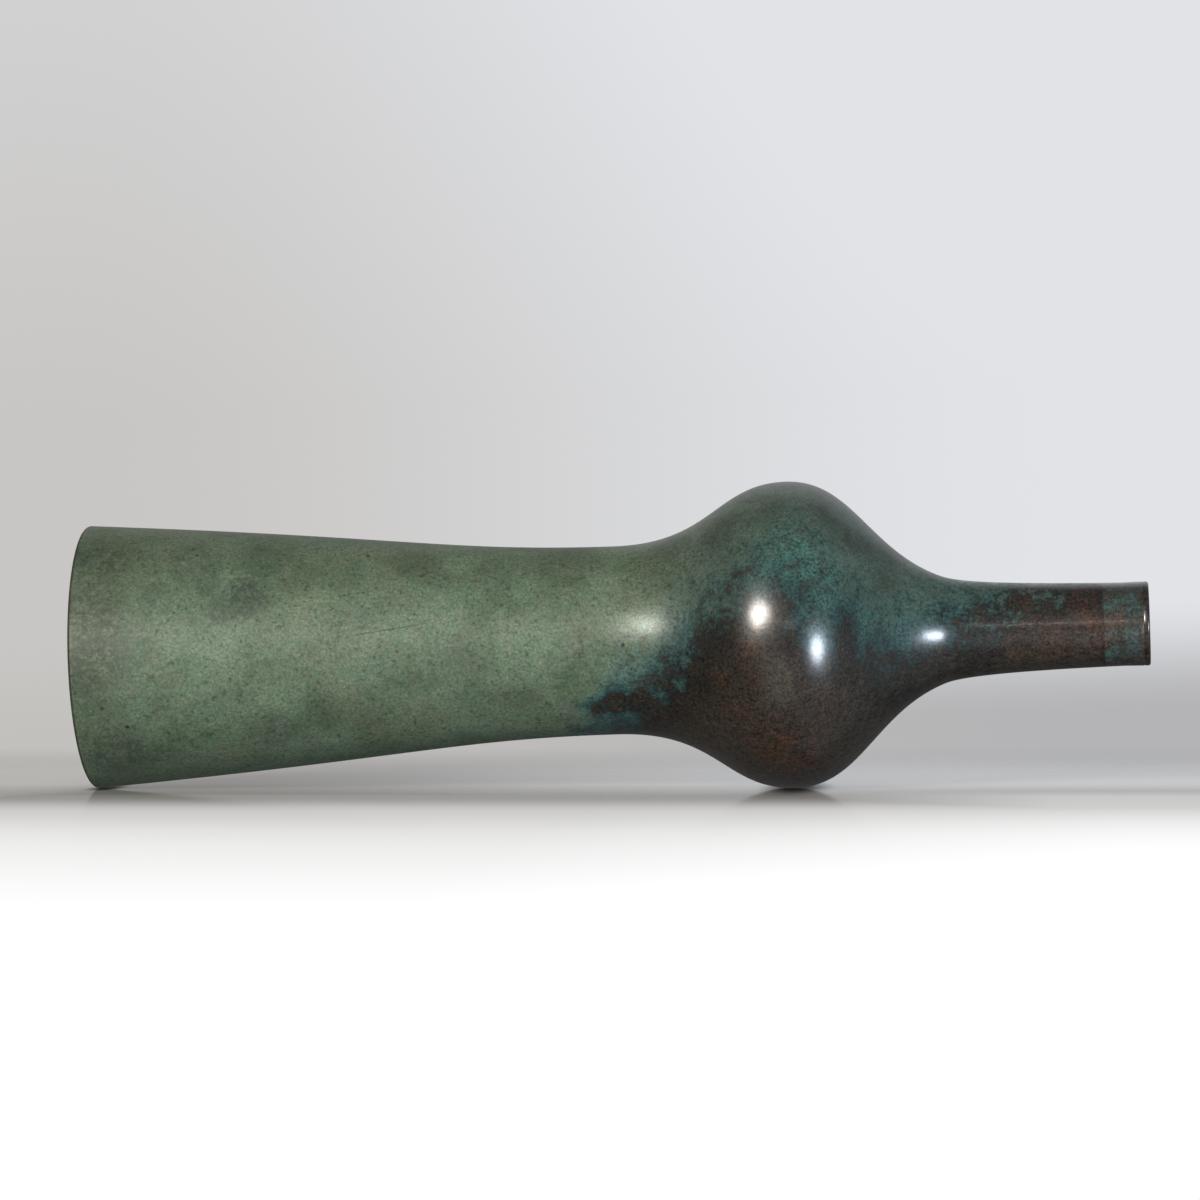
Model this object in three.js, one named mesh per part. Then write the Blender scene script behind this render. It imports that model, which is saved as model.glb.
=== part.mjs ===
// A cast bronze flower vase: a tapered column, a waist, a turnip-shaped belly and a slim neck.
// It is made of hollow castings that meet in rabbeted seams, a mouth ring, a bottom plate and the filler
// that holds them. Millimetres, +Z up through the mouth, origin at the centre of the foot's underside.
import * as THREE from "three";

// The outline, from foot to mouth. Each stretch is a length along the axis.
const COLUMN_LENGTH = 165;
const UNDER_BELLY_LENGTH = 54.5;
const SHOULDER_LENGTH = 47.5;
const NECK_LENGTH = 63;

const FOOT_DIAMETER = 82.4;
const WAIST_DIAMETER = 58.5;
const BELLY_DIAMETER = 95;
const NECK_ROOT_DIAMETER = 32.9;
const MOUTH_DIAMETER = 25.4;

// How the outline leans where its stretches meet, as millimetres of radius for each millimetre of height.
// It is upright at the waist and at the widest part of the belly.
const FOOT_LEAN = -0.067;
const NECK_ROOT_LEAN = -0.37;
const MOUTH_LEAN = -0.018;

// How far each of these directions holds before the curve bends away from it.
const FOOT_REACH = 102;
const WAIST_REACH_DOWN = 51;
const WAIST_REACH_UP = 31.5;
const BELLY_REACH_DOWN = 22;
const BELLY_REACH_UP = 20.5;
const NECK_ROOT_REACH_DOWN = 22.5;
const NECK_ROOT_REACH_UP = 8;
const MOUTH_REACH = 20;

// Wall thicknesses, square to the surface.
const COLUMN_WALL = 3.2;
const BELLY_WALL = 3;
const NECK_WALL = 2.6;

// The seams. The lower piece of each has a spigot, half its wall thick, that enters the upper piece's socket.
// A ring of filler lies between the spigot's end and the socket's shoulder.
const WAIST_SPIGOT_LENGTH = 6;
const NECK_SPIGOT_LENGTH = 5;
const MOUTH_SPIGOT_LENGTH = 4;
const SEAM_CLEARANCE = 0.1;
const FILLER_HEIGHT = 0.8;
const NECK_SEAM_ABOVE_ROOT = 8;
const MOUTH_RING_LENGTH = 14;

// The foot. The bottom plate is let into it from below, against a ledge.
const FOOT_EDGE_RADIUS = 1;
const FOOT_RIM_WIDTH = 4;
const BASE_RECESS = 3;
const BASE_PLATE_THICKNESS = 2.5;
const BASE_PLATE_CLEARANCE = 0.1;
const LEDGE_WIDTH = 1.6;
const LEDGE_HEIGHT = 4;
const LEDGE_FADE = 14;
const BASE_SOLDER_LEG = 1.4;

// The mouth ring: a slight flare, then a fine turned groove that sets off the bead at the rim.
const MOUTH_FLARE = 0.25;
const MOUTH_FLARE_LENGTH = 8;
const BEAD_HEIGHT = 1.5;
const BEAD_GROOVE_WIDTH = 0.6;
const BEAD_GROOVE_DEPTH = 0.2;
const RIM_EDGE_RADIUS = 0.7;

// How finely the curves are cut.
const SIDES = 48;
const EDGE_STEPS = 3;

const waistHeight = COLUMN_LENGTH;
const bellyHeight = waistHeight + UNDER_BELLY_LENGTH;
const neckRootHeight = bellyHeight + SHOULDER_LENGTH;
const mouthHeight = neckRootHeight + NECK_LENGTH;
const neckSeamHeight = neckRootHeight + NECK_SEAM_ABOVE_ROOT;
const mouthSeamHeight = mouthHeight - MOUTH_RING_LENGTH;

// A place on the outline: its radius, its height, its lean, and the reach of that lean below and above.
function station(diameter, height, lean, reachDown, reachUp) {
  const at = new THREE.Vector2(diameter / 2, height);
  const along = new THREE.Vector2(lean, 1);
  return {
    at,
    below: at.clone().addScaledVector(along, -reachDown),
    above: at.clone().addScaledVector(along, reachUp),
  };
}

const stations = [
  station(FOOT_DIAMETER, 0, FOOT_LEAN, 0, FOOT_REACH),
  station(WAIST_DIAMETER, waistHeight, 0, WAIST_REACH_DOWN, WAIST_REACH_UP),
  station(BELLY_DIAMETER, bellyHeight, 0, BELLY_REACH_DOWN, BELLY_REACH_UP),
  station(NECK_ROOT_DIAMETER, neckRootHeight, NECK_ROOT_LEAN, NECK_ROOT_REACH_DOWN, NECK_ROOT_REACH_UP),
  station(MOUTH_DIAMETER, mouthHeight, MOUTH_LEAN, MOUTH_REACH, 0),
];

const stretches = stations.slice(1).map((upper, i) => {
  const lower = stations[i];
  return new THREE.CubicBezierCurve(lower.at, lower.above, upper.below, upper.at);
});

// The point of the skin at a height, moved inwards by a depth of wall.
function skin(height, depth = 0) {
  const curve = stretches.find((c) => height <= c.v3.y) ?? stretches.at(-1);
  let low = 0;
  let high = 1;
  while (high - low > 1e-7) {
    const middle = (low + high) / 2;
    if (curve.getPoint(middle).y < height) low = middle;
    else high = middle;
  }
  const lean = curve.getTangent((low + high) / 2);
  return new THREE.Vector2(curve.getPoint((low + high) / 2).x - depth / lean.y, height);
}

// Points of the skin from one height to another, at even steps of height.
function run(from, to, steps, depth = 0) {
  return Array.from({ length: steps + 1 }, (_, i) => skin(from + ((to - from) * i) / steps, depth));
}

// A quarter circle between two directions, given in degrees round its centre.
function roundedEdge(centreRadius, centreHeight, radius, fromDegrees, toDegrees) {
  return Array.from({ length: EDGE_STEPS + 1 }, (_, i) => {
    const angle = THREE.MathUtils.degToRad(fromDegrees + ((toDegrees - fromDegrees) * i) / EDGE_STEPS);
    return new THREE.Vector2(centreRadius + radius * Math.cos(angle), centreHeight + radius * Math.sin(angle));
  });
}

const point = (radius, height) => new THREE.Vector2(radius, height);

// Turns a section round the axis. The section runs upwards on the outside and down again on the inside.
function turned(name, section, finish) {
  const onAxis = section[0].x === 0;
  const profile = onAxis ? section : [...section, section[0].clone()];
  const geometry = new THREE.LatheGeometry(profile, SIDES);
  geometry.rotateX(Math.PI / 2);
  const mesh = new THREE.Mesh(geometry, finish);
  mesh.name = name;
  return mesh;
}

// The radii of a seam, measured where the spigot starts: the bore of the lower piece, the outside of the
// spigot, and the socket that takes it.
function seam(height, lowerWall, spigotLength) {
  const bore = skin(height).x - lowerWall;
  const spigot = bore + lowerWall / 2;
  return {
    height,
    bore,
    spigot,
    socket: spigot + SEAM_CLEARANCE,
    end: height + spigotLength,
    shoulder: height + spigotLength + FILLER_HEIGHT,
  };
}

const waistSeam = seam(waistHeight, COLUMN_WALL, WAIST_SPIGOT_LENGTH);
const neckSeam = seam(neckSeamHeight, BELLY_WALL, NECK_SPIGOT_LENGTH);
const mouthSeam = seam(mouthSeamHeight, NECK_WALL, MOUTH_SPIGOT_LENGTH);

// The upper end of a section with a spigot, from the outside over the spigot's end to the bore.
const spigotPoints = (s) => [
  point(s.spigot, s.height),
  point(s.spigot, s.end),
  point(s.bore, s.end),
  point(s.bore, s.height),
];

// The lower end of a section with a socket, from the bore down to the seam's face.
const socketPoints = (s) => [point(s.socket, s.shoulder), point(s.socket, s.height)];

const finishes = {
  verdigris: new THREE.MeshStandardMaterial({ color: "#6f7c66", roughness: 0.5, metalness: 0.35 }),
  brown: new THREE.MeshStandardMaterial({ color: "#433a31", roughness: 0.35, metalness: 0.45 }),
  brownNeck: new THREE.MeshStandardMaterial({ color: "#4a4137", roughness: 0.38, metalness: 0.45 }),
  turquoise: new THREE.MeshStandardMaterial({ color: "#44605b", roughness: 0.42, metalness: 0.4 }),
  plate: new THREE.MeshStandardMaterial({ color: "#6b4a35", roughness: 0.55, metalness: 0.7 }),
  solder: new THREE.MeshStandardMaterial({ color: "#8d8f8c", roughness: 0.45, metalness: 0.9 }),
  braze: new THREE.MeshStandardMaterial({ color: "#b59a5e", roughness: 0.4, metalness: 0.9 }),
};

function columnCasting() {
  const rebate = FOOT_DIAMETER / 2 - FOOT_RIM_WIDTH;
  const ledgeUnderside = BASE_RECESS + BASE_PLATE_THICKNESS;
  const ledgeTop = ledgeUnderside + LEDGE_HEIGHT;
  const edge = FOOT_EDGE_RADIUS;
  return turned(
    "column_casting",
    [
      ...roundedEdge(skin(edge).x - edge, edge, edge, -90, 0),
      ...run(edge, waistHeight, 11).slice(1),
      ...spigotPoints(waistSeam),
      ...run(waistHeight, ledgeTop + LEDGE_FADE, 8, COLUMN_WALL).slice(1),
      point(rebate - LEDGE_WIDTH, ledgeTop),
      point(rebate - LEDGE_WIDTH, ledgeUnderside),
      point(rebate, ledgeUnderside),
      point(rebate, 0),
    ],
    finishes.verdigris,
  );
}

function bellyCasting() {
  return turned(
    "belly_casting",
    [
      ...run(waistHeight, bellyHeight, 10),
      ...run(bellyHeight, neckRootHeight, 9).slice(1),
      ...run(neckRootHeight, neckSeamHeight, 2).slice(1),
      ...spigotPoints(neckSeam),
      ...run(neckSeamHeight, neckRootHeight, 2, BELLY_WALL).slice(1),
      ...run(neckRootHeight, bellyHeight, 8, BELLY_WALL).slice(1),
      ...run(bellyHeight, waistSeam.shoulder, 8, BELLY_WALL).slice(1),
      ...socketPoints(waistSeam),
    ],
    finishes.brown,
  );
}

function neckCasting() {
  return turned(
    "neck_casting",
    [
      ...run(neckSeamHeight, mouthSeamHeight, 6),
      ...spigotPoints(mouthSeam),
      ...run(mouthSeamHeight, neckSeam.shoulder, 4, NECK_WALL).slice(1),
      ...socketPoints(neckSeam),
    ],
    finishes.brownNeck,
  );
}

function mouthRing() {
  const beadFoot = mouthHeight - BEAD_HEIGHT;
  const grooveFoot = beadFoot - BEAD_GROOVE_WIDTH;
  const flareFoot = mouthHeight - MOUTH_FLARE_LENGTH;
  const lip = skin(mouthHeight).x + MOUTH_FLARE;
  const bore = lip - MOUTH_FLARE - NECK_WALL;
  const edge = RIM_EDGE_RADIUS;
  return turned(
    "mouth_ring",
    [
      ...run(mouthSeamHeight, flareFoot, 2),
      point(lip, grooveFoot),
      point(lip - BEAD_GROOVE_DEPTH, grooveFoot + BEAD_GROOVE_WIDTH / 2),
      point(lip, beadFoot),
      ...roundedEdge(lip - edge, mouthHeight - edge, edge, 0, 90),
      ...roundedEdge(bore + edge, mouthHeight - edge, edge, 90, 180),
      point(bore, mouthSeam.shoulder),
      ...socketPoints(mouthSeam),
    ],
    finishes.turquoise,
  );
}

function basePlate() {
  const radius = FOOT_DIAMETER / 2 - FOOT_RIM_WIDTH - BASE_PLATE_CLEARANCE;
  const top = BASE_RECESS + BASE_PLATE_THICKNESS;
  return turned(
    "base_plate",
    [point(0, BASE_RECESS), point(radius, BASE_RECESS), point(radius, top), point(0, top)],
    finishes.plate,
  );
}

// A fillet of three corners: under the plate, against the foot's rebate, and the slope between them.
function baseSolder() {
  const outside = FOOT_DIAMETER / 2 - FOOT_RIM_WIDTH - BASE_PLATE_CLEARANCE;
  return turned(
    "base_solder",
    [
      point(outside, BASE_RECESS - BASE_SOLDER_LEG),
      point(outside, BASE_RECESS),
      point(outside - BASE_SOLDER_LEG, BASE_RECESS),
    ],
    finishes.solder,
  );
}

// Filler between the end of a spigot and the shoulder of its socket.
function brazeRing(name, s, upperBore) {
  const inside = Math.max(s.bore, upperBore);
  return turned(
    name,
    [point(s.spigot, s.end), point(s.spigot, s.shoulder), point(inside, s.shoulder), point(inside, s.end)],
    finishes.braze,
  );
}

const vase = new THREE.Group();
vase.add(
  columnCasting(),
  bellyCasting(),
  neckCasting(),
  mouthRing(),
  basePlate(),
  baseSolder(),
  brazeRing("waist_braze", waistSeam, skin(waistSeam.shoulder, BELLY_WALL).x),
  brazeRing("neck_braze", neckSeam, skin(neckSeam.shoulder, NECK_WALL).x),
  brazeRing("mouth_braze", mouthSeam, skin(mouthHeight).x - NECK_WALL),
);

export default vase;
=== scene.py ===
"""A cast bronze flower vase in a green, turquoise and brown patina, laid on its side in a pale studio.

The vase stands along +Z in its own frame. The camera is turned on its side, so in its picture the vase lies
with its foot to the left: the picture's right is +Z, its bottom +Y, and +X comes towards the camera.
"""
import math

import bpy
from mathutils import Matrix, Vector


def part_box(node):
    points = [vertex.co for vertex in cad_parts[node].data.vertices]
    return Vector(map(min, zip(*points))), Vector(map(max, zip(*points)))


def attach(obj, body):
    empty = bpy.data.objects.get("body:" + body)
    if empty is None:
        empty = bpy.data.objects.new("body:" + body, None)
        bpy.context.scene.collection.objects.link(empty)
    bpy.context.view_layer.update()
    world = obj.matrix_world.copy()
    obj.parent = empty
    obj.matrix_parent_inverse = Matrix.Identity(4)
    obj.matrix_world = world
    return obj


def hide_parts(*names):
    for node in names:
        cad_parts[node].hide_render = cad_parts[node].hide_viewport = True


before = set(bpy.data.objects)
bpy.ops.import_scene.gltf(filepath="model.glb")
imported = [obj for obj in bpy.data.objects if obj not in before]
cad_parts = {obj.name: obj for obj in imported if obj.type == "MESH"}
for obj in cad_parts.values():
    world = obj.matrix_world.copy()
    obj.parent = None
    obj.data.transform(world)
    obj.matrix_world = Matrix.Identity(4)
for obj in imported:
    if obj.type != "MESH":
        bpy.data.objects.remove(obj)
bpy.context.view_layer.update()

MM = 0.001


def height_of(node, top):
    """The lowest or highest level of a CAD node, in millimetres."""
    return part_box(node)[1 if top else 0].z / MM


# Heights come from the frame, radii and leans are those of the outline, in millimetres.
waist_seam = height_of("belly_casting", top=False)
neck_seam = height_of("neck_casting", top=False)
mouth_seam = height_of("mouth_ring", top=False)
mouth_height = height_of("mouth_ring", top=True)
plate_under = height_of("base_plate", top=False)
plate_top = height_of("base_plate", top=True)
plate_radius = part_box("base_plate")[1].x / MM
solder_foot = height_of("base_solder", top=False)

BELLY_HEIGHT = 219.5
NECK_ROOT_HEIGHT = 267

FOOT_RADIUS = 41.2
WAIST_RADIUS = 29.25
BELLY_RADIUS = 47.5
NECK_ROOT_RADIUS = 16.45
MOUTH_RADIUS = 12.7

COLUMN_WALL = 3.2
BELLY_WALL = 3
NECK_WALL = 2.6
SEAM_CLEARANCE = 0.1

FOOT_EDGE_RADIUS = 1
PLATE_EDGE_RADIUS = 0.3
FOOT_RIM_WIDTH = 4
LEDGE_WIDTH = 1.6
LEDGE_HEIGHT = 4
LEDGE_FADE = 14

MOUTH_FLARE = 0.25
MOUTH_FLARE_LENGTH = 8
BEAD_HEIGHT = 1.5
BEAD_GROOVE_WIDTH = 0.6
BEAD_GROOVE_DEPTH = 0.1
RIM_EDGE_RADIUS = 0.7

# How finely the turned pieces are cut: the steps along the skin and inside, the steps of a full turn and of
# a rounded edge, how close points are merged and from what angle an edge stays sharp.
SKIN_STEP = 1.25
INSIDE_STEP = 4
TURN_STEPS = 192
EDGE_STEPS = 8
MERGED_WITHIN = 0.002
SHARP_ANGLE = 32


def station(radius, height, lean, below=0, above=0):
    """A place on the outline, with the handles of the curves that meet there."""
    at = Vector((radius, height))
    along = Vector((lean, 1))
    return at, at - along * below, at + along * above


STATIONS = [
    station(FOOT_RADIUS, 0, -0.067, above=102),
    station(WAIST_RADIUS, waist_seam, 0, below=51, above=31.5),
    station(BELLY_RADIUS, BELLY_HEIGHT, 0, below=22, above=20.5),
    station(NECK_ROOT_RADIUS, NECK_ROOT_HEIGHT, -0.37, below=22.5, above=8),
    station(MOUTH_RADIUS, mouth_height, -0.018, below=20),
]


def skin(height, depth=0):
    """The skin's radius at a height, moved inwards by a depth of wall."""
    i = max(k for k in range(len(STATIONS) - 1) if k == 0 or height > STATIONS[k][0].y)
    a, b, c, d = STATIONS[i][0], STATIONS[i][2], STATIONS[i + 1][1], STATIONS[i + 1][0]
    low, high = 0, 1
    while high - low > 1e-7:
        t = (low + high) / 2
        at = a * (1 - t) ** 3 + b * 3 * t * (1 - t) ** 2 + c * 3 * t * t * (1 - t) + d * t ** 3
        if at.y < height:
            low = t
        else:
            high = t
    lean = (b - a) * (1 - t) ** 2 + (c - b) * 2 * t * (1 - t) + (d - c) * t * t
    return at.x - depth * lean.length / lean.y


def run(start, end, step, depth=0):
    """Points of the skin from one height to another."""
    count = max(1, math.ceil(abs(end - start) / step))
    heights = [start + (end - start) * i / count for i in range(count + 1)]
    return [(skin(h, depth), h) for h in heights]


def rounded_edge(radius_at, height_at, radius, start, end):
    """A quarter circle round a centre, between two directions in degrees."""
    angles = [math.radians(start + (end - start) * i / EDGE_STEPS) for i in range(EDGE_STEPS + 1)]
    return [(radius_at + radius * math.cos(a), height_at + radius * math.sin(a)) for a in angles]


def turned(name, section):
    """Turns a closed section, drawn point by point from one corner of a plane, round the vase's axis."""
    bpy.ops.object.select_all(action="DESELECT")
    start = Vector((section[0][0] * MM, 0, section[0][1] * MM))
    bpy.ops.mesh.primitive_plane_add(size=MM, location=start)
    piece = bpy.context.active_object
    piece.name = piece.data.name = name
    bpy.ops.object.mode_set(mode="EDIT")
    bpy.ops.mesh.select_all(action="SELECT")
    bpy.ops.mesh.merge(type="CENTER")
    at = section[0]
    for point in [*section[1:], section[0]]:
        move = ((point[0] - at[0]) * MM, 0, (point[1] - at[1]) * MM)
        bpy.ops.mesh.extrude_region_move(TRANSFORM_OT_translate={"value": move})
        at = point
    bpy.ops.mesh.select_all(action="SELECT")
    bpy.ops.mesh.spin(steps=TURN_STEPS, angle=2 * math.pi, center=(0, 0, 0), axis=(0, 0, 1))
    bpy.ops.mesh.select_all(action="SELECT")
    bpy.ops.mesh.remove_doubles(threshold=MERGED_WITHIN * MM)
    bpy.ops.mesh.normals_make_consistent(inside=False)
    bpy.ops.object.mode_set(mode="OBJECT")
    bpy.ops.object.transform_apply(location=True, rotation=True, scale=True)
    bpy.ops.object.shade_smooth_by_angle(angle=math.radians(SHARP_ANGLE))
    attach(piece, "root")
    return piece


def seam(height, lower_wall, braze):
    """The radii and levels of a seam whose ring of filler is a CAD node."""
    bore = skin(height) - lower_wall
    halfway = bore + lower_wall / 2
    return {
        "height": height,
        "bore": bore,
        "spigot": halfway,
        "socket": halfway + SEAM_CLEARANCE,
        "end": height_of(braze, top=False),
        "shoulder": height_of(braze, top=True),
    }


waist_joint = seam(waist_seam, COLUMN_WALL, "waist_braze")
neck_joint = seam(neck_seam, BELLY_WALL, "neck_braze")
mouth_joint = seam(mouth_seam, NECK_WALL, "mouth_braze")


def spigot(joint):
    """A section's upper end, from the seam's face over the spigot to the bore."""
    outside, bore = joint["spigot"], joint["bore"]
    height, end = joint["height"], joint["end"]
    return [(outside, height), (outside, end), (bore, end), (bore, height)]


def socket(joint):
    """A section's lower end, from the bore down to the seam's face."""
    return [(joint["socket"], joint["shoulder"]), (joint["socket"], joint["height"])]


def turn_column():
    rebate = FOOT_RADIUS - FOOT_RIM_WIDTH
    ledge = rebate - LEDGE_WIDTH
    ledge_top = plate_top + LEDGE_HEIGHT
    edge = FOOT_EDGE_RADIUS
    return turned("turned_column", [
        *rounded_edge(skin(edge) - edge, edge, edge, -90, 0),
        *run(edge, waist_seam, SKIN_STEP)[1:],
        *spigot(waist_joint),
        *run(waist_seam, ledge_top + LEDGE_FADE, INSIDE_STEP, COLUMN_WALL)[1:],
        (ledge, ledge_top),
        (ledge, plate_top),
        (rebate, plate_top),
        (rebate, 0),
    ])


def turn_belly():
    return turned("turned_belly", [
        *run(waist_seam, neck_seam, SKIN_STEP),
        *spigot(neck_joint),
        *run(neck_seam, waist_joint["shoulder"], INSIDE_STEP, BELLY_WALL)[1:],
        *socket(waist_joint),
    ])


def turn_neck():
    return turned("turned_neck", [
        *run(neck_seam, mouth_seam, SKIN_STEP),
        *spigot(mouth_joint),
        *run(mouth_seam, neck_joint["shoulder"], INSIDE_STEP, NECK_WALL)[1:],
        *socket(neck_joint),
    ])


def turn_mouth():
    bead_foot = mouth_height - BEAD_HEIGHT
    groove = bead_foot - BEAD_GROOVE_WIDTH
    lip = MOUTH_RADIUS + MOUTH_FLARE
    bore = MOUTH_RADIUS - NECK_WALL
    edge = RIM_EDGE_RADIUS
    return turned("turned_mouth", [
        *run(mouth_seam, mouth_height - MOUTH_FLARE_LENGTH, SKIN_STEP),
        (lip, groove),
        (lip - BEAD_GROOVE_DEPTH * 0.8, groove + BEAD_GROOVE_WIDTH * 0.3),
        (lip - BEAD_GROOVE_DEPTH, groove + BEAD_GROOVE_WIDTH * 0.5),
        (lip - BEAD_GROOVE_DEPTH * 0.8, groove + BEAD_GROOVE_WIDTH * 0.7),
        (lip, bead_foot),
        *rounded_edge(lip - edge, mouth_height - edge, edge, 0, 90),
        *rounded_edge(bore + edge, mouth_height - edge, edge, 90, 180),
        (bore, mouth_joint["shoulder"]),
        *socket(mouth_joint),
    ])


def turn_plate():
    edge = PLATE_EDGE_RADIUS
    low, high = plate_under + edge, plate_top - edge
    return turned("turned_plate", [
        (0, plate_under),
        *rounded_edge(plate_radius - edge, low, edge, -90, 0),
        *rounded_edge(plate_radius - edge, high, edge, 0, 90),
        (0, plate_top),
    ])


def turn_solder():
    """The fillet, hollow as the solder drew itself into the corner."""
    leg = plate_under - solder_foot
    hollow = rounded_edge(plate_radius - leg, solder_foot, leg, 90, 0)
    return turned("turned_solder", [*hollow, (plate_radius, plate_under)])


def linear(hex_colour):
    """An sRGB hex colour as the linear values that a shader takes."""
    channels = [int(hex_colour[i:i + 2], 16) / 255 for i in (0, 2, 4)]
    return [c / 12.92 if c <= 0.04045 else ((c + 0.055) / 1.055) ** 2.4 for c in channels] + [1]


def add(tree, kind, *values, out=None, named=None, stops=(), curve=(), **settings):
    """Adds a node with its settings and returns the output named, or its first.

    Its inputs are given in their own order or by name. A socket is linked, None is passed over and any
    other value is set. A ramp takes its stops as places and colours, and a curve takes its points.
    """
    made = tree.nodes.new("ShaderNode" + kind)
    for name, value in settings.items():
        setattr(made, name, value)
    given = list(zip([entry for entry in made.inputs if entry.enabled], values))
    given += [(made.inputs[name], value) for name, value in (named or {}).items()]
    for entry, value in given:
        if isinstance(value, bpy.types.NodeSocket):
            tree.links.new(value, entry)
        elif value is not None:
            entry.default_value = value
    for i, (place, colour) in enumerate(stops):
        elements = made.color_ramp.elements
        stop = elements[i] if i < 2 else elements.new(place)
        stop.position = place
        stop.color = linear(colour)
    if curve:
        points = made.mapping.curves[0].points
        points[0].location, points[-1].location = curve[0], curve[-1]
        for x, y in curve[1:-1]:
            points.new(x, y)
        made.mapping.update()
    if out:
        return made.outputs[out]
    return next((result for result in made.outputs if result.enabled), None)


# The camera, from the photograph. Pixels are those of a frame 1200 wide and high, lengths are in
# millimetres and angles in degrees.
PICTURE = 1200
FOCAL_PIXELS = 5000
SENSOR = 36
MIDDLE_AT = (616.05, 640.37)
MIDDLE_HEIGHT = 165
CAMERA_DISTANCE = 1555
MOUTH_NEARER = 5.46
LEAN_UP = 1.87


def on_front(height, across):
    """The point of the skin that the camera sees at a height and a distance across on the axis plane."""
    out = math.sqrt(max(0, skin(height) ** 2 - across ** 2))
    height += out * (math.tan(math.radians(MOUTH_NEARER)) - (height - MIDDLE_HEIGHT) / CAMERA_DISTANCE)
    across *= 1 - out / CAMERA_DISTANCE
    return Vector((math.sqrt(max(0, skin(height) ** 2 - across ** 2)), across, height)) * MM


# Where the patina's grounds meet, as the camera sees them against the axis plane. Each pair is a height,
# and how far across the vase towards +Y the brown or the turquoise begins there, which is within the range.
BROWN_EDGE = [
    (120, 50), (152, 48), (158, 44), (164, 36), (170, 28), (176, 19), (182, 10.5), (188, 4), (194, -4),
    (200, -8), (206, -12), (212, -11), (218, -5), (224, 1), (230, 5), (236, 3), (242, 7), (248, 12),
    (254, 9.5), (260, 7), (266, 4), (272, 1.5), (278, -2.5), (284, -7), (290, -11), (296, -14), (330, -14),
]
TURQUOISE_EDGE = [
    (120, 50), (136, 46), (146, 36), (152, 25), (158, 16), (164, 8), (170, 4), (176, 1), (182, -4),
    (188, -10), (194, -15), (200, -18), (206, -25), (212, -31), (218, -34), (224, -34), (230, -30),
    (236, -18), (242, -13), (248, -9), (254, -10), (260, -12), (266, -13), (278, -15), (300, -18),
    (314, -20), (318, -30), (330, -30),
]
RING_BROWN_EDGE = [(300, -12.5), (330, -12.5)]
EDGE_RANGE = 50

# Over what distances, round the edges of the grounds, they set in and the thin patina changes colour.
BROWN_SETS_IN = (-3 * MM, 5 * MM)
TURQUOISE_SETS_IN = (-9 * MM, 12 * MM)
COLOURS_CHANGE_WITHIN = (-20 * MM, 20 * MM)

# The sage green of the column deepens between these heights into the dark green of the belly's shoulders.
DEEP_GREEN_FROM = 160
DEEP_GREEN_TO = 204

# The column is matt. Between these heights it turns as smooth as the belly.
POLISHED_FROM = 155
POLISHED_TO = 177
MATT_ROUGHNESS = 0.52
POLISHED_ROUGHNESS = 0.34
INSIDE_ROUGHER_BY = 0.25
WAX_ROUGHNESS = 0.2
SHINE = 0.35

# Spots on the side that faces the camera: a height, a distance across, a radius and a strength.
# Dark green clouds. Some are mottling of the patina, but those along the upper side from the foot to the
# belly, and over the foot's end, are painted shade.
DARK_CLOUDS_AND_PAINTED_SHADE = [
    (3, -31, 14, 0.75), (6, 30, 13, 0.7), (1, 24, 8, 0.6), (49, -18, 8, 0.75), (42, -14, 5.5, 0.6),
    (20, -20, 5.5, 0.5), (37, -22, 5, 0.4), (69, -24, 6, 0.4), (104, -26, 8, 0.5), (110, -21, 5, 0.4),
    (86, -10, 5, 0.25), (119, 17, 9, 0.35), (134, 17, 7, 0.35), (113, 6, 9, 0.25), (86, 19, 8, 0.35),
    (56, 24, 8, 0.45), (73, 21, 7, 0.4), (150, -25, 12, 0.35), (200, -23, 8, 0.5), (187, -18, 6, 0.3),
    (14, -28, 11, 0.5), (32, -29, 11, 0.45), (55, -28, 10, 0.4), (78, -25, 9, 0.3), (128, -22, 9, 0.3),
    (200, -33, 9, 0.5), (207, -28, 7, 0.3), (215, 20, 4, 0.3), (217, -37, 9, 0.3),
    (-2, -12, 15, 0.8), (-2, 0, 15, 0.8), (-2, 12, 12, 0.5),
]
PITS = [
    (10, 22, 0.8, 0.9), (2, 16, 0.9, 0.7), (88, -29, 0.9, 0.7), (34, -31, 0.8, 0.7), (43, 8, 0.6, 0.6),
    (80, -17, 0.5, 0.6), (139, -17, 0.5, 0.6), (96, 1, 0.8, 0.4), (161, 1, 0.5, 0.6), (164, 0.5, 0.4, 0.5),
    (167, 1.2, 0.8, 0.9), (166, 0, 0.4, 0.6),
]
BARE_SPOTS = [
    (159, 20, 4, 2), (164, 18.7, 5, 1.9), (170, 18.5, 5, 1.3), (176, 9, 4, 0.4), (217, -9, 6, 0.45),
    (226, -8, 4, 0.3), (245, 2, 4, 0.3), (267, -6, 3.5, 0.4), (271, -5.5, 4, 0.4), (198, -13, 6, 0.2),
    (222, -13, 5, 0.4), (236, -4, 5, 0.3), (252, 6, 4, 0.3),
]
TURQUOISE_SPOTS = [
    (187, 8, 3.5, 0.6), (178, 19, 3.5, 0.4), (283, 4.6, 4, 0.8), (297, -9, 4, 0.6), (301.5, -7.5, 3.5, 0.6),
    (293, 3, 4, 0.9), (289, -3, 5, 0.6), (318.8, -6.5, 4, 1.1), (322.8, -6.5, 3.5, 0.9),
    (325.6, -3.5, 4, 1.4), (324.2, 4.6, 4, 1.75), (318.8, 8.4, 4, 2.3), (317.2, 11, 3.5, 2.2),
    (317.4, 3, 3.5, 1.5), (325, 8.5, 6, 2.1), (185, 14, 3, 0.9), (192, 16, 2.5, 0.8),
    (196, -9, 4, 0.5), (201, -11, 4, 0.5), (211, -16, 4, 0.6),
]
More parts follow.
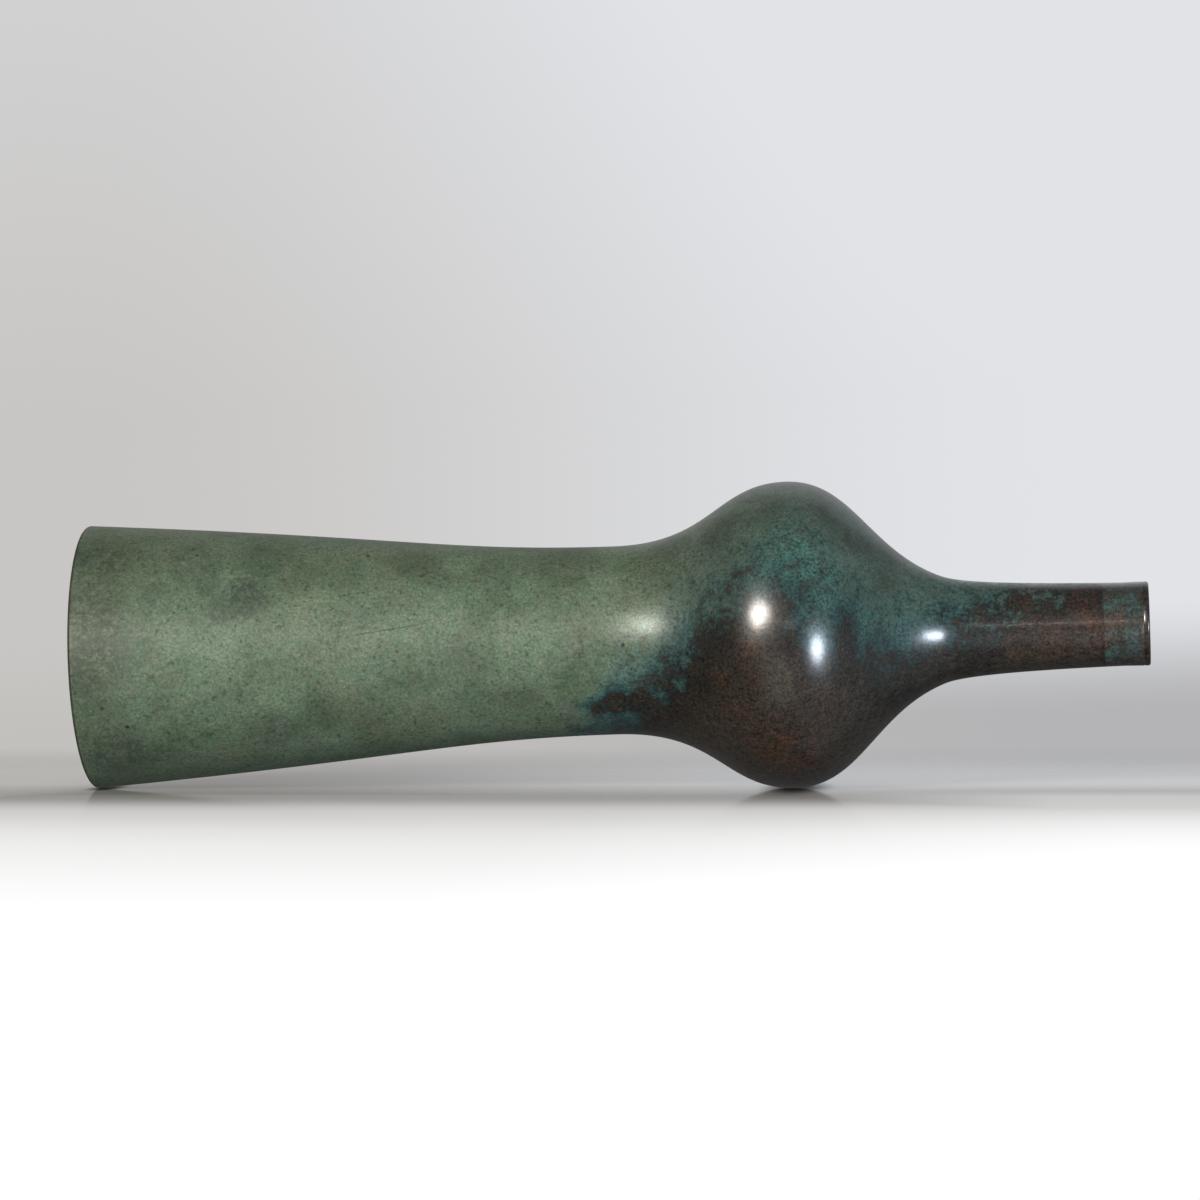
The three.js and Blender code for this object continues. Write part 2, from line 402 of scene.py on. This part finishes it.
COPPER_SPOTS = [
    (218, 36, 12, 0.85), (208, 33, 7, 0.5), (206, 4, 4, 0.5), (206, 12, 5, 0.4), (202, 23, 7, 0.5),
    (230, 22, 6, 0.4), (198, 12, 4, 0.4), (224, 30, 7, 0.6), (310, -8, 6, 0.5), (313, 1.6, 6, 0.9),
    (301.5, 6, 7, 0.7), (291, 6, 5, 0.5), (291.5, -8.4, 4, 0.4), (319, 0, 4, 0.8), (323, -9, 4, 0.5),
    (315, 8, 4, 0.4),
]
# Near-black spots where the patina is thin. Most are its own dark patches, but those below the belly's warm
# highlight and on the belly's lower side are painted shade.
SOOT_AND_SHADE_SPOTS = [
    (192, 14, 10, 0.55), (198, 2, 9, 0.55), (184, 22, 8, 0.4), (203, -11, 6, 0.6), (215, -13, 6, 0.6),
    (224, -12, 5, 0.4), (214, 3, 6, 0.5), (226, 12, 6, 0.4), (205, 11, 8, 0.45), (228, 25, 9, 0.4),
    (264, -8, 7, 0.3), (247, 1, 6, 0.2), (236, -4, 6, 0.35), (219, -8, 5, 0.4), (286, -4, 5, 0.4),
    (305, -1, 6, 0.3), (279, 8, 6, 0.4),
]

# How far the middle of a bare spot of strength 1 moves the grounds' edges. A turquoise one moves them back.
SPOT_PUSH = 12

# A scratch runs along the column from one place to the other.
SCRATCH = (80.2, -4.2), (106.8, -7.6)
SCRATCH_WIDTH = 0.3
SCRATCH_STRENGTH = 0.6

# Bands where handling has worn the patina: a lowest and a highest level, a colour and a strength.
FOOT_WEAR = [(-1, 0.7, "2A2620", 0.7)]
MOUTH_WEAR = [(316.2, 328, "68675A", 0.19), (328.4, 331, "46352C", 0.35)]
WEAR_FADE = 0.3

# The fields of cloudy variation: the size of the features in millimetres, the octaves and their roughness.
# The speckle is drawn a little coarser than it is.
CLOUDS = {
    "drift": (9, 3, 0.5),
    "wash": (31, 4, 0.6),
    "mottle": (17, 8, 0.76),
    "lace": (6, 4, 0.7),
    "sponge": (2.2, 3, 0.75),
    "tint": (4, 3, 0.65),
    "pepper": (1.5, 2, 0.5),
    "speckle": (0.8, 3, 0.6),
}
DRIFT_REACH = 7

# The fields that break up the grounds' edges: the values they are read between, and how many millimetres
# they move an edge either way.
EDGE_BREAKERS = {
    "mottle": (0.3, 0.7, 4),
    "lace": (0.25, 0.75, 8),
    "sponge": (0.25, 0.75, 9),
    "speckle": (0.25, 0.75, 1.5),
}

# The colours that lie in the grounds and over them.
OLIVE_WASH = "666A50"
LEAF_TINT = "526E53"
GREY_TINT = "6C7161"
GREEN_PEPPER = "2C372C"
BROWN_VEIL = "3B3C33"
BLACK_FLECK = "1A2021"
# The near-black of the soot spots, painted shade in part of them.
SOOT_AND_SHADE_BLACK = "191A19"
PIT_BLACK = "15130F"
SCRATCH_GREEN = "2A302A"
INSIDE_BROWN = "2E2620"


def new_material(name):
    """A material and its node tree, still empty."""
    material = bpy.data.materials.new(name)
    material.use_nodes = True
    material.node_tree.nodes.clear()
    return material, material.node_tree


def layered(tree, colour, layers):
    """Lays layers over a colour in turn, each with the share to which it covers what is below."""
    for share, over in layers:
        colour = add(tree, "Mix", share, colour, over, data_type="RGBA")
    return colour


def spotted(tree, node, around, spots, middle=0.2, reach=1.5):
    """Soft spots, those that reach the piece of a CAD node, drawn round the places of a field."""
    lowest, highest = height_of(node, top=False), height_of(node, top=True)
    total = 0.0
    for height, across, radius, strength in spots:
        if lowest - 2 * radius < height < highest + 2 * radius:
            away = add(tree, "VectorMath", around, on_front(height, across), operation="DISTANCE")
            spot = add(tree, "MapRange", away, middle * radius * MM, reach * radius * MM, strength, 0,
                       interpolation_type="SMOOTHSTEP")
            total = add(tree, "Math", total, spot, operation="MAXIMUM")
    return total


def scratched(tree, place):
    """The scratch, fading towards its ends."""
    start, end = (on_front(*at) for at in SCRATCH)
    along = (end - start).normalized()
    offset = add(tree, "VectorMath", place, start, operation="SUBTRACT")
    reached = add(tree, "VectorMath", offset, along, operation="DOT_PRODUCT")
    aside = add(tree, "VectorMath", along, reached, operation="SCALE")
    aside = add(tree, "VectorMath", offset, aside, operation="DISTANCE")
    middle = (end - start).length / 2
    off_middle = add(tree, "Math", reached, middle, operation="SUBTRACT")
    off_middle = add(tree, "Math", off_middle, operation="ABSOLUTE")
    shown = add(tree, "MapRange", off_middle, 0.6 * middle, middle, SCRATCH_STRENGTH, 0)
    line = add(tree, "MapRange", aside, 0.3 * SCRATCH_WIDTH * MM, SCRATCH_WIDTH * MM, 1, 0)
    return add(tree, "Math", shown, line, operation="MULTIPLY")


def past_edge(tree, ragged, edge, pushes):
    """How far a place lies past the curve where a ground begins, in metres."""
    across = add(tree, "SeparateXYZ", ragged, out="Y")
    height = add(tree, "SeparateXYZ", ragged, out="Z")
    points = [on_front(*pair) / MM for pair in edge]
    begins = add(tree, "FloatCurve", None, add(tree, "MapRange", height, 0, mouth_height * MM), curve=[
        (min(1, point.z / mouth_height), point.y / (2 * EDGE_RANGE) + 0.5) for point in points
    ])
    begins = add(tree, "MapRange", begins, 0, 1, -EDGE_RANGE * MM, EDGE_RANGE * MM)
    beyond = add(tree, "Math", across, begins, operation="SUBTRACT")
    for push in pushes:
        beyond = add(tree, "Math", beyond, push, operation="ADD")
    return beyond


def lay_grounds(tree, node, ragged, cloud, brown_edge):
    """Where the green has thinned to turquoise and where the metal is bare of both, with broken edges.

    Both are shares. The distance past the brown's edge comes with them.
    """
    bared = spotted(tree, node, ragged, BARE_SPOTS)
    kept = spotted(tree, node, ragged, TURQUOISE_SPOTS)
    pushes = [
        add(tree, "Math", bared, SPOT_PUSH * MM, operation="MULTIPLY"),
        add(tree, "Math", kept, -SPOT_PUSH * MM, operation="MULTIPLY"),
    ]
    for field, (low, high, reach) in EDGE_BREAKERS.items():
        pushes.append(add(tree, "MapRange", cloud[field], low, high, -reach * MM, reach * MM))
    bare_by = past_edge(tree, ragged, brown_edge, pushes)
    thin_by = past_edge(tree, ragged, TURQUOISE_EDGE, pushes)
    bare = add(tree, "MapRange", bare_by, *BROWN_SETS_IN, interpolation_type="SMOOTHSTEP")
    thin = add(tree, "MapRange", thin_by, *TURQUOISE_SETS_IN, interpolation_type="SMOOTHSTEP")
    thin = add(tree, "Math", thin, bare, operation="MAXIMUM")
    return thin, bare, bare_by


def sage_green(tree, height, cloud):
    """The opaque green, olive and grey in places, which deepens towards the belly."""
    green = add(tree, "ValToRGB", cloud["mottle"], stops=[
        (0.3, "434F3D"), (0.7, "6F8269"), (0.42, "556650"), (0.54, "62745E"),
    ])
    deep_green = add(tree, "ValToRGB", cloud["mottle"], stops=[(0.32, "3B453D"), (0.68, "617266")])
    deepened = add(tree, "MapRange", height, DEEP_GREEN_FROM * MM, DEEP_GREEN_TO * MM,
                   interpolation_type="SMOOTHSTEP")
    return layered(tree, green, [
        (add(tree, "MapRange", cloud["wash"], 0.45, 0.7, 0, 0.35), linear(OLIVE_WASH)),
        (add(tree, "MapRange", cloud["tint"], 0.5, 0.7, 0, 0.5), linear(LEAF_TINT)),
        (add(tree, "MapRange", cloud["tint"], 0.5, 0.3, 0, 0.5), linear(GREY_TINT)),
        (deepened, deep_green),
    ])


def patina_colour(tree, node, place, ragged, cloud, grounds):
    """The grounds' colours, with clouds, soot, copper and pits, where some clouds and soot are painted
    shade.
    """
    thin, bare, bare_by = grounds
    height = add(tree, "SeparateXYZ", ragged, out="Z")
    thinning = add(tree, "ValToRGB", add(tree, "MapRange", bare_by, *COLOURS_CHANGE_WITHIN), stops=[
        (0, "3F6059"), (1, "413931"), (0.25, "335450"), (0.4, "2B4544"), (0.5, "262E2D"), (0.6, "2B2824"),
        (0.8, "38312A"),
    ])
    # The dark green that the clouds lay, part patina mottling and part painted shade.
    cloudy = add(tree, "ValToRGB", cloud["wash"], stops=[(0.4, "38443B"), (0.6, "414A3B")])
    rust = add(tree, "ValToRGB", cloud["tint"], stops=[(0.35, "3E2B22"), (0.65, "5C3826")])
    broken = add(tree, "MapRange", cloud["sponge"], 0.38, 0.58, 0.3, 1.2)
    clouds_and_painted_shade = spotted(tree, node, ragged, DARK_CLOUDS_AND_PAINTED_SHADE, 0.4, 1.3)
    clouds_and_painted_shade = add(tree, "Math", clouds_and_painted_shade, broken, operation="MULTIPLY")
    veiled = add(tree, "MapRange", cloud["lace"], 0.5, 0.64, 0, 0.6)
    flecked = add(tree, "MapRange", cloud["pepper"], 0.55, 0.68, 0, 0.4)
    # Soot spots, some of them painted shade.
    soot_and_shade = add(tree, "Math", spotted(tree, node, ragged, SOOT_AND_SHADE_SPOTS), thin, operation="MULTIPLY")
    rusty = add(tree, "Math", spotted(tree, node, ragged, COPPER_SPOTS), bare, operation="MULTIPLY")
    rusted = add(tree, "MapRange", cloud["lace"], 0.35, 0.65)
    return layered(tree, sage_green(tree, height, cloud), [
        # Dark clouds, part of them painted shade.
        (clouds_and_painted_shade, cloudy),
        (add(tree, "MapRange", cloud["pepper"], 0.58, 0.72, 0, 0.6), linear(GREEN_PEPPER)),
        (thin, thinning),
        (add(tree, "Math", veiled, thin, operation="MULTIPLY"), linear(BROWN_VEIL)),
        (add(tree, "Math", flecked, thin, operation="MULTIPLY"), linear(BLACK_FLECK)),
        # Soot, part of it painted shade below the belly's warm highlight and on the belly's lower side.
        (add(tree, "Math", soot_and_shade, broken, operation="MULTIPLY"), linear(SOOT_AND_SHADE_BLACK)),
        (add(tree, "Math", rusty, rusted, operation="MULTIPLY"), rust),
        (spotted(tree, node, place, PITS, 0.5, 1), linear(PIT_BLACK)),
        (scratched(tree, place), linear(SCRATCH_GREEN)),
    ])


def worn_by(tree, place, low, high, strength):
    """The share to which a band is worn, between two levels."""
    level = add(tree, "SeparateXYZ", place, out="Z")
    above = add(tree, "MapRange", level, (low - WEAR_FADE) * MM, low * MM)
    below = add(tree, "MapRange", level, high * MM, (high + WEAR_FADE) * MM, strength, 0)
    return add(tree, "Math", above, below, operation="MULTIPLY")


def grain(tree, cloud, thin):
    """How light or dark each grain of the patina is, coarser and stronger where it is thin."""
    fine = add(tree, "Math", cloud["speckle"], 0.5, operation="SUBTRACT")
    coarse = add(tree, "Math", cloud["sponge"], 0.5, operation="SUBTRACT")
    coarse = add(tree, "Math", coarse, add(tree, "MapRange", thin, 0, 1, 0.5, 2.2), operation="MULTIPLY")
    contrast = add(tree, "MapRange", thin, 0, 1, 2, 3.6)
    shade = add(tree, "Math", fine, contrast, coarse, operation="MULTIPLY_ADD")
    shade = add(tree, "Math", shade, 1.0, operation="ADD")
    return add(tree, "Math", shade, 0.1, operation="MAXIMUM")


def faces_inwards(tree, place):
    """The share to which the metal faces the vase's axis, which is 1 inside it."""
    outward = add(tree, "VectorMath", place, (1, 1, 0), operation="MULTIPLY")
    outward = add(tree, "VectorMath", outward, operation="NORMALIZE")
    normal = add(tree, "NewGeometry", out="Normal")
    facing = add(tree, "VectorMath", outward, normal, operation="DOT_PRODUCT")
    return add(tree, "MapRange", facing, 0.2, -0.2)


def patinated_bronze(name, node, brown_edge=BROWN_EDGE, worn=()):
    """Cast bronze in a hot patina, waxed.

    Copper salts give an opaque sage green. Where they lie thinner they turn turquoise and then nearly
    black, and where the bronze was only heated it is an oxide brown with copper showing through. They were
    dabbed on, so every edge is sponged. Wax shines on the thin layers and sinks into the green. Inside,
    where no patina was laid, the casting is a dull dark brown.
    """
    material, tree = new_material(name)
    place = add(tree, "TexCoord", out="Object")
    cloud = {
        field: add(tree, "TexNoise", place, 1 / (size * MM), detail, roughness)
        for field, (size, detail, roughness) in CLOUDS.items()
    }
    drift = cloud["drift"].node.outputs["Color"]
    drift = add(tree, "VectorMath", drift, (0.5, 0.5, 0.5), operation="SUBTRACT")
    drift = add(tree, "VectorMath", drift, DRIFT_REACH * MM, operation="SCALE")
    ragged = add(tree, "VectorMath", place, drift, operation="ADD")
    height = add(tree, "SeparateXYZ", ragged, out="Z")
    grounds = lay_grounds(tree, node, ragged, cloud, brown_edge)
    thin, bare = grounds[:2]
    inside = faces_inwards(tree, place)

    colour = patina_colour(tree, node, place, ragged, cloud, grounds)
    colour = layered(tree, colour, [
        (worn_by(tree, place, low, high, strength), linear(tint)) for low, high, tint, strength in worn
    ])
    colour = add(tree, "VectorMath", colour, grain(tree, cloud, thin), operation="SCALE")
    colour = layered(tree, colour, [(inside, linear(INSIDE_BROWN))])

    polished = add(tree, "MapRange", height, POLISHED_FROM * MM, POLISHED_TO * MM)
    polished = add(tree, "Math", polished, bare, operation="MAXIMUM")
    roughness = add(tree, "MapRange", polished, 0, 1, MATT_ROUGHNESS, POLISHED_ROUGHNESS)
    rougher = add(tree, "MapRange", inside, 0, 1, 0, INSIDE_ROUGHER_BY)
    waxed = add(tree, "MapRange", thin, 0.35, 1, 0, 0.8)
    wax_left = add(tree, "MapRange", cloud["speckle"], 0.3, 0.6, 0.55, 1.1)
    waxed = add(tree, "Math", waxed, wax_left, operation="MULTIPLY")
    shader = add(tree, "BsdfPrincipled", named={
        "Base Color": colour,
        "Roughness": add(tree, "Math", roughness, rougher, operation="ADD"),
        "Metallic": add(tree, "MapRange", bare, 0, 1, 0.05, 0.3),
        "Normal": add(tree, "Bump", 0.6, 0.06 * MM, None, cloud["speckle"]),
        "Specular IOR Level": SHINE,
        "Coat Weight": add(tree, "Math", waxed, inside, operation="SUBTRACT"),
        "Coat Roughness": WAX_ROUGHNESS,
    })
    add(tree, "OutputMaterial", shader)
    return material


def plain_metal(name, light, dark, roughness, grain_size):
    """A metal piece that shows little, with the cloudy dullness that handling and age give it."""
    material, tree = new_material(name)
    place = add(tree, "TexCoord", out="Object")
    cloudy = add(tree, "TexNoise", place, 1 / (grain_size * MM), 5, 0.65)
    shader = add(tree, "BsdfPrincipled", named={
        "Base Color": add(tree, "Mix", cloudy, linear(dark), linear(light), data_type="RGBA"),
        "Metallic": 1.0,
        "Roughness": add(tree, "MapRange", cloudy, 0, 1, roughness + 0.12, roughness - 0.08),
        "Normal": add(tree, "Bump", 0.3, 0.1 * MM, None, cloudy),
    })
    add(tree, "OutputMaterial", shader)
    return material


def finish(piece, node, material):
    """Lets a turned piece stand for its CAD node, in the material given."""
    piece.data.materials.clear()
    piece.data.materials.append(material)
    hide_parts(node)


def make_vase():
    finish(turn_column(), "column_casting", patinated_bronze(
        "sage_green_hot_patina_waxed", "column_casting", worn=FOOT_WEAR))
    finish(turn_belly(), "belly_casting", patinated_bronze(
        "dark_brown_hot_patina_waxed", "belly_casting"))
    finish(turn_neck(), "neck_casting", patinated_bronze(
        "brown_hot_patina_waxed", "neck_casting"))
    finish(turn_mouth(), "mouth_ring", patinated_bronze(
        "turquoise_hot_patina_waxed", "mouth_ring", brown_edge=RING_BROWN_EDGE, worn=MOUTH_WEAR))
    finish(turn_plate(), "base_plate", plain_metal(
        "bronze_plate_as_cut", "7A5638", "4A3424", 0.5, 6))
    finish(turn_solder(), "base_solder", plain_metal(
        "tin_solder_dull", "8F918D", "6C6E6B", 0.45, 3))
    filler = plain_metal("silver_brazing_filler", "B79B62", "8B7647", 0.4, 3)
    for name in ("waist_braze", "neck_braze", "mouth_braze"):
        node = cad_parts[name]
        node.data.materials.clear()
        node.data.materials.append(filler)


def camera_axes():
    """The picture's right, down and forward directions in the vase's frame."""
    nearer, lean = math.radians(MOUTH_NEARER), math.radians(LEAN_UP)
    forward_z = -math.sin(nearer) * math.cos(lean)
    forward = Vector((-math.sqrt(1 - forward_z ** 2), 0, forward_z))
    down_z = -math.sin(lean)
    down_x = -down_z * forward.z / forward.x
    down = Vector((down_x, math.sqrt(1 - down_x ** 2 - down_z ** 2), down_z))
    return down.cross(forward), down, forward


RIGHT, DOWN, FORWARD = camera_axes()


def by_picture(right, down, forward):
    """A direction given by the picture's own."""
    return RIGHT * right + DOWN * down + FORWARD * forward


def make_camera():
    data = bpy.data.cameras.new("camera")
    data.sensor_width = SENSOR
    data.lens = FOCAL_PIXELS / PICTURE * SENSOR
    data.clip_end = 20
    camera = bpy.data.objects.new("camera", data)
    bpy.context.scene.collection.objects.link(camera)
    right, down = [(at - PICTURE / 2) / FOCAL_PIXELS * CAMERA_DISTANCE for at in MIDDLE_AT]
    place = (Vector((0, 0, MIDDLE_HEIGHT)) + by_picture(-right, -down, -CAMERA_DISTANCE)) * MM
    turn = Matrix((RIGHT, -DOWN, -FORWARD)).transposed()
    camera.matrix_world = Matrix.Translation(place) @ turn.to_4x4()
    bpy.context.scene.camera = camera


def lamp(name, way, distance, width, height, power, colour="FFFFFF", lights=True, mirrored=True):
    """A soft lamp, seen from the belly in a direction given by the picture's own.

    Its distance and its size are in metres and its power in watts.
    """
    data = bpy.data.lights.new(name, "AREA")
    data.shape = "ELLIPSE"
    data.size, data.size_y = width, height
    data.energy = power
    data.color = linear(colour)[:3]
    light = bpy.data.objects.new(name, data)
    bpy.context.scene.collection.objects.link(light)
    way = by_picture(*way).normalized()
    up = way.cross(RIGHT).normalized()
    turn = Matrix((up.cross(way), up, way)).transposed()
    belly = Vector((0, 0, BELLY_HEIGHT)) * MM
    light.matrix_world = Matrix.Translation(belly + way * distance) @ turn.to_4x4()
    light.visible_camera = False
    light.visible_diffuse = lights
    light.visible_glossy = mirrored


# The two big lamps have a hot middle, which only shows where the wax mirrors it.
WARM_WAY = (-0.53, -0.25, -0.8)
COOL_WAY = (0.66, 0.14, -0.74)


def make_lamps():
    lamp("warm_lamp", WARM_WAY, 1.6, 0.66, 0.46, 19, "FFF8EF")
    lamp("warm_lamp_middle", WARM_WAY, 1.55, 0.4, 0.28, 8, "FFFCF8", lights=False)
    lamp("cool_lamp", COOL_WAY, 1.6, 0.56, 0.46, 15, "E4EEFF")
    lamp("cool_lamp_middle", COOL_WAY, 1.55, 0.42, 0.34, 6.5, "E8F0FF", lights=False)
    lamp("front_fill", (-0.02, -0.2, -0.98), 1.8, 0.9, 0.6, 2, mirrored=False)
    lamp("back_fill", (0, 0, 1), 1.8, 1.2, 1.2, 14, mirrored=False)
    lamp("strip_lamp", (0.03, -0.15, -0.98), 1.5, 0.34, 0.02, 0.45, "FFEFE6", lights=False)


# What the vase mirrors of the room: the bright backdrop behind it, and three pale patches, low in front,
# low beside the mouth and beyond the mouth, which show as a dim sheen in the dark wax. Each has a
# direction, the cosine where it fades out and a brightness. The rest of the room is dimmer.
MIRRORED = [
    ((-0.88, -0.47, 0), 0.75, 0.95),
    ((0.863, 0.5, -0.08), 0.86, 1.25),
    ((0.24, 0.74, 0.62), 0.6, 0.6),
    ((-0.17, 0.27, 0.95), 0.86, 0.55),
]
ROOM_MIRRORED = 0.14
ROOM_LIGHT = 0.24


def make_world():
    world = bpy.data.worlds.new("pale_room")
    bpy.context.scene.world = world
    world.use_nodes = True
    tree = world.node_tree
    tree.nodes.clear()
    way = add(tree, "TexCoord", out="Generated")
    along = add(tree, "SeparateXYZ", way, out="Z")
    down = add(tree, "SeparateXYZ", way, out="Y")
    from_left = add(tree, "MapRange", along, -0.2, 0.005, interpolation_type="SMOOTHSTEP")
    lift = add(tree, "MapRange", down, -0.04, -0.12, 0, 0.35)
    above = add(tree, "ValToRGB", add(tree, "Math", from_left, lift, operation="ADD"), stops=[
        (0, "C8C6C4"), (1, "E1E3E7"),
    ])
    below = add(tree, "ValToRGB", from_left, stops=[(0, "C2C0BC"), (1, "B4B4B6")])
    lower = add(tree, "MapRange", down, 0.002, 0.026, interpolation_type="SMOOTHSTEP")
    tone = layered(tree, above, [(lower, below)])
    mirrored = ROOM_MIRRORED
    for direction, edge, brightness in MIRRORED:
        facing = add(tree, "VectorMath", way, direction, operation="DOT_PRODUCT")
        patch = add(tree, "MapRange", facing, edge, 1, 0, brightness, interpolation_type="SMOOTHSTEP")
        mirrored = add(tree, "Math", mirrored, patch, operation="MAXIMUM")
    strength = add(tree, "Mix", add(tree, "LightPath", out="Is Glossy Ray"), ROOM_LIGHT, mirrored)
    strength = add(tree, "Mix", add(tree, "LightPath", out="Is Camera Ray"), strength, 1.0)
    add(tree, "OutputWorld", add(tree, "Background", tone, strength))


# The ground that the vase lies on touches its foot and its belly, and reaches from behind it to the camera.
GROUND_NEAR = 1200
GROUND_FAR = -420
GROUND_SIDES = 900
GROUND_GAP = 0.05
GROUND_COLOUR = "CDCBC9"
GROUND_GLOSS_ROUGHNESS = 0.07

# Where the foot's edge and the belly touch the ground, and the ground's own directions.
FOOT_TOUCHES = Vector((0, skin(FOOT_EDGE_RADIUS) + GROUND_GAP, 0)) * MM
BELLY_TOUCHES = Vector((0, BELLY_RADIUS + GROUND_GAP, BELLY_HEIGHT)) * MM
ALONG_GROUND = (BELLY_TOUCHES - FOOT_TOUCHES).normalized()
TOWARDS_CAMERA = Vector((1, 0, 0))

# The shade round each contact: its middle and how tight it is along each axis.
CONTACTS = [
    (FOOT_TOUCHES + ALONG_GROUND * 3 * MM, (0.3, 1, 1.1)),
    (BELLY_TOUCHES, (0.12, 1, 0.6)),
]
CONTACT_REACH = (1.5 * MM, 8 * MM)
CONTACT_SHADE = 0.12


def ground_shade(tree, place, near, along):
    """Painted shade on the ground, darkest behind the column's foot and round the contacts."""
    column_shade = add(tree, "FloatCurve", None, add(tree, "MapRange", along, -0.05, 0.3), curve=[
        (0, 1), (0.1, 0.95), (0.18, 0.72), (0.35, 0.74), (0.5, 0.86), (0.68, 0.94), (1, 0.93),
    ])
    shade = add(tree, "Math", column_shade, add(tree, "MapRange", near, -0.01, 0.06), operation="MAXIMUM")
    # Painted light brightens the ground just behind the vase, and painted shade darkens it further back.
    for level in (
        add(tree, "MapRange", near, 0.07, -0.03, 1, 1.65),
        add(tree, "MapRange", near, -0.15, -0.4, 1, 0.6),
    ):
        shade = add(tree, "Math", shade, level, operation="MULTIPLY")
    # Painted contact shadows.
    for contact, tightness in CONTACTS:
        away = add(tree, "VectorMath", place, contact, operation="SUBTRACT")
        away = add(tree, "VectorMath", away, tightness, operation="MULTIPLY")
        away = add(tree, "VectorMath", away, operation="LENGTH")
        lit = add(tree, "MapRange", away, *CONTACT_REACH, CONTACT_SHADE, 1, interpolation_type="SMOOTHSTEP")
        shade = add(tree, "Math", shade, lit, operation="MULTIPLY")
    return shade


def ground_glow(tree, near, along):
    """How far the ground is lost in white, which grows towards the camera and past the vase's ends."""
    glow = add(tree, "FloatCurve", None, add(tree, "MapRange", near, 0, 0.6), curve=[
        (0, 0), (0.09, 0), (0.14, 0.06), (0.19, 0.21), (0.23, 0.34), (0.27, 0.42), (0.35, 0.5), (0.5, 0.68),
        (0.74, 0.84), (1, 1),
    ])
    past_mouth = add(tree, "MapRange", along, 0.225, 0.3, 0, 0.35)
    past_foot = add(tree, "MapRange", along, -0.01, -0.05, 0, 0.2)
    beside = add(tree, "Math", past_mouth, past_foot, operation="MAXIMUM")
    beside = add(tree, "Math", beside, add(tree, "MapRange", near, 0.02, 0.06), operation="MULTIPLY")
    glow = add(tree, "Math", glow, beside, operation="MAXIMUM")
    brighter = add(tree, "MapRange", along, 0.17, 0.32, 0.03, 0.25)
    brighter = add(tree, "Math", brighter, add(tree, "MapRange", near, 0.06, 0.22), operation="MULTIPLY")
    glow = add(tree, "Math", glow, brighter, operation="ADD")
    return add(tree, "Math", glow, add(tree, "LightPath", out="Is Camera Ray"), operation="MULTIPLY")


def pale_glossy_card():
    """The ground: pale card with a gloss, which fades out behind the vase and shows from above only."""
    material, tree = new_material("pale_glossy_card")
    place = add(tree, "TexCoord", out="Object")
    near = add(tree, "SeparateXYZ", place, out="X")
    along = add(tree, "SeparateXYZ", place, out="Z")
    shade = ground_shade(tree, place, near, along)
    card_tone = add(tree, "VectorMath", linear(GROUND_COLOUR)[:3], shade, operation="SCALE")
    gloss_tone = add(tree, "VectorMath", (1, 1, 1), shade, operation="SCALE")
    card = add(tree, "BsdfDiffuse", card_tone)
    gloss = add(tree, "BsdfGlossy", gloss_tone, GROUND_GLOSS_ROUGHNESS)
    polish = add(tree, "MapRange", near, 0, 0.15, 0.6, 0.12)
    polished = add(tree, "MixShader", polish, card, gloss)
    white = add(tree, "Emission", linear("FFFFFF"), 1.0)
    whole = add(tree, "MixShader", ground_glow(tree, near, along), polished, white)
    fade = add(tree, "MapRange", near, GROUND_FAR * MM, -0.04, interpolation_type="SMOOTHSTEP")
    from_above = add(tree, "Math", 1.0, add(tree, "NewGeometry", out="Backfacing"), operation="SUBTRACT")
    shown = add(tree, "Math", fade, from_above, operation="MULTIPLY")
    add(tree, "OutputMaterial", add(tree, "MixShader", shown, add(tree, "BsdfTransparent"), whole))
    return material


def make_ground():
    bpy.ops.object.select_all(action="DESELECT")
    bpy.ops.mesh.primitive_plane_add(size=1, location=(0, 0, 0))
    ground = bpy.context.active_object
    ground.name = "ground"
    middle = TOWARDS_CAMERA * (GROUND_NEAR + GROUND_FAR) / 2 + ALONG_GROUND * MIDDLE_HEIGHT
    deep, wide = TOWARDS_CAMERA * (GROUND_NEAR - GROUND_FAR), ALONG_GROUND * 2 * GROUND_SIDES
    spread = Matrix((deep * MM, wide * MM, TOWARDS_CAMERA.cross(ALONG_GROUND))).transposed()
    ground.data.transform(Matrix.Translation(FOOT_TOUCHES + middle * MM) @ spread.to_4x4())
    ground.data.materials.append(pale_glossy_card())
    ground.visible_shadow = False
    ground.visible_diffuse = False
    ground.visible_glossy = False


make_camera()
make_vase()
make_lamps()
make_world()
make_ground()
bpy.context.scene.view_settings.view_transform = "Standard"
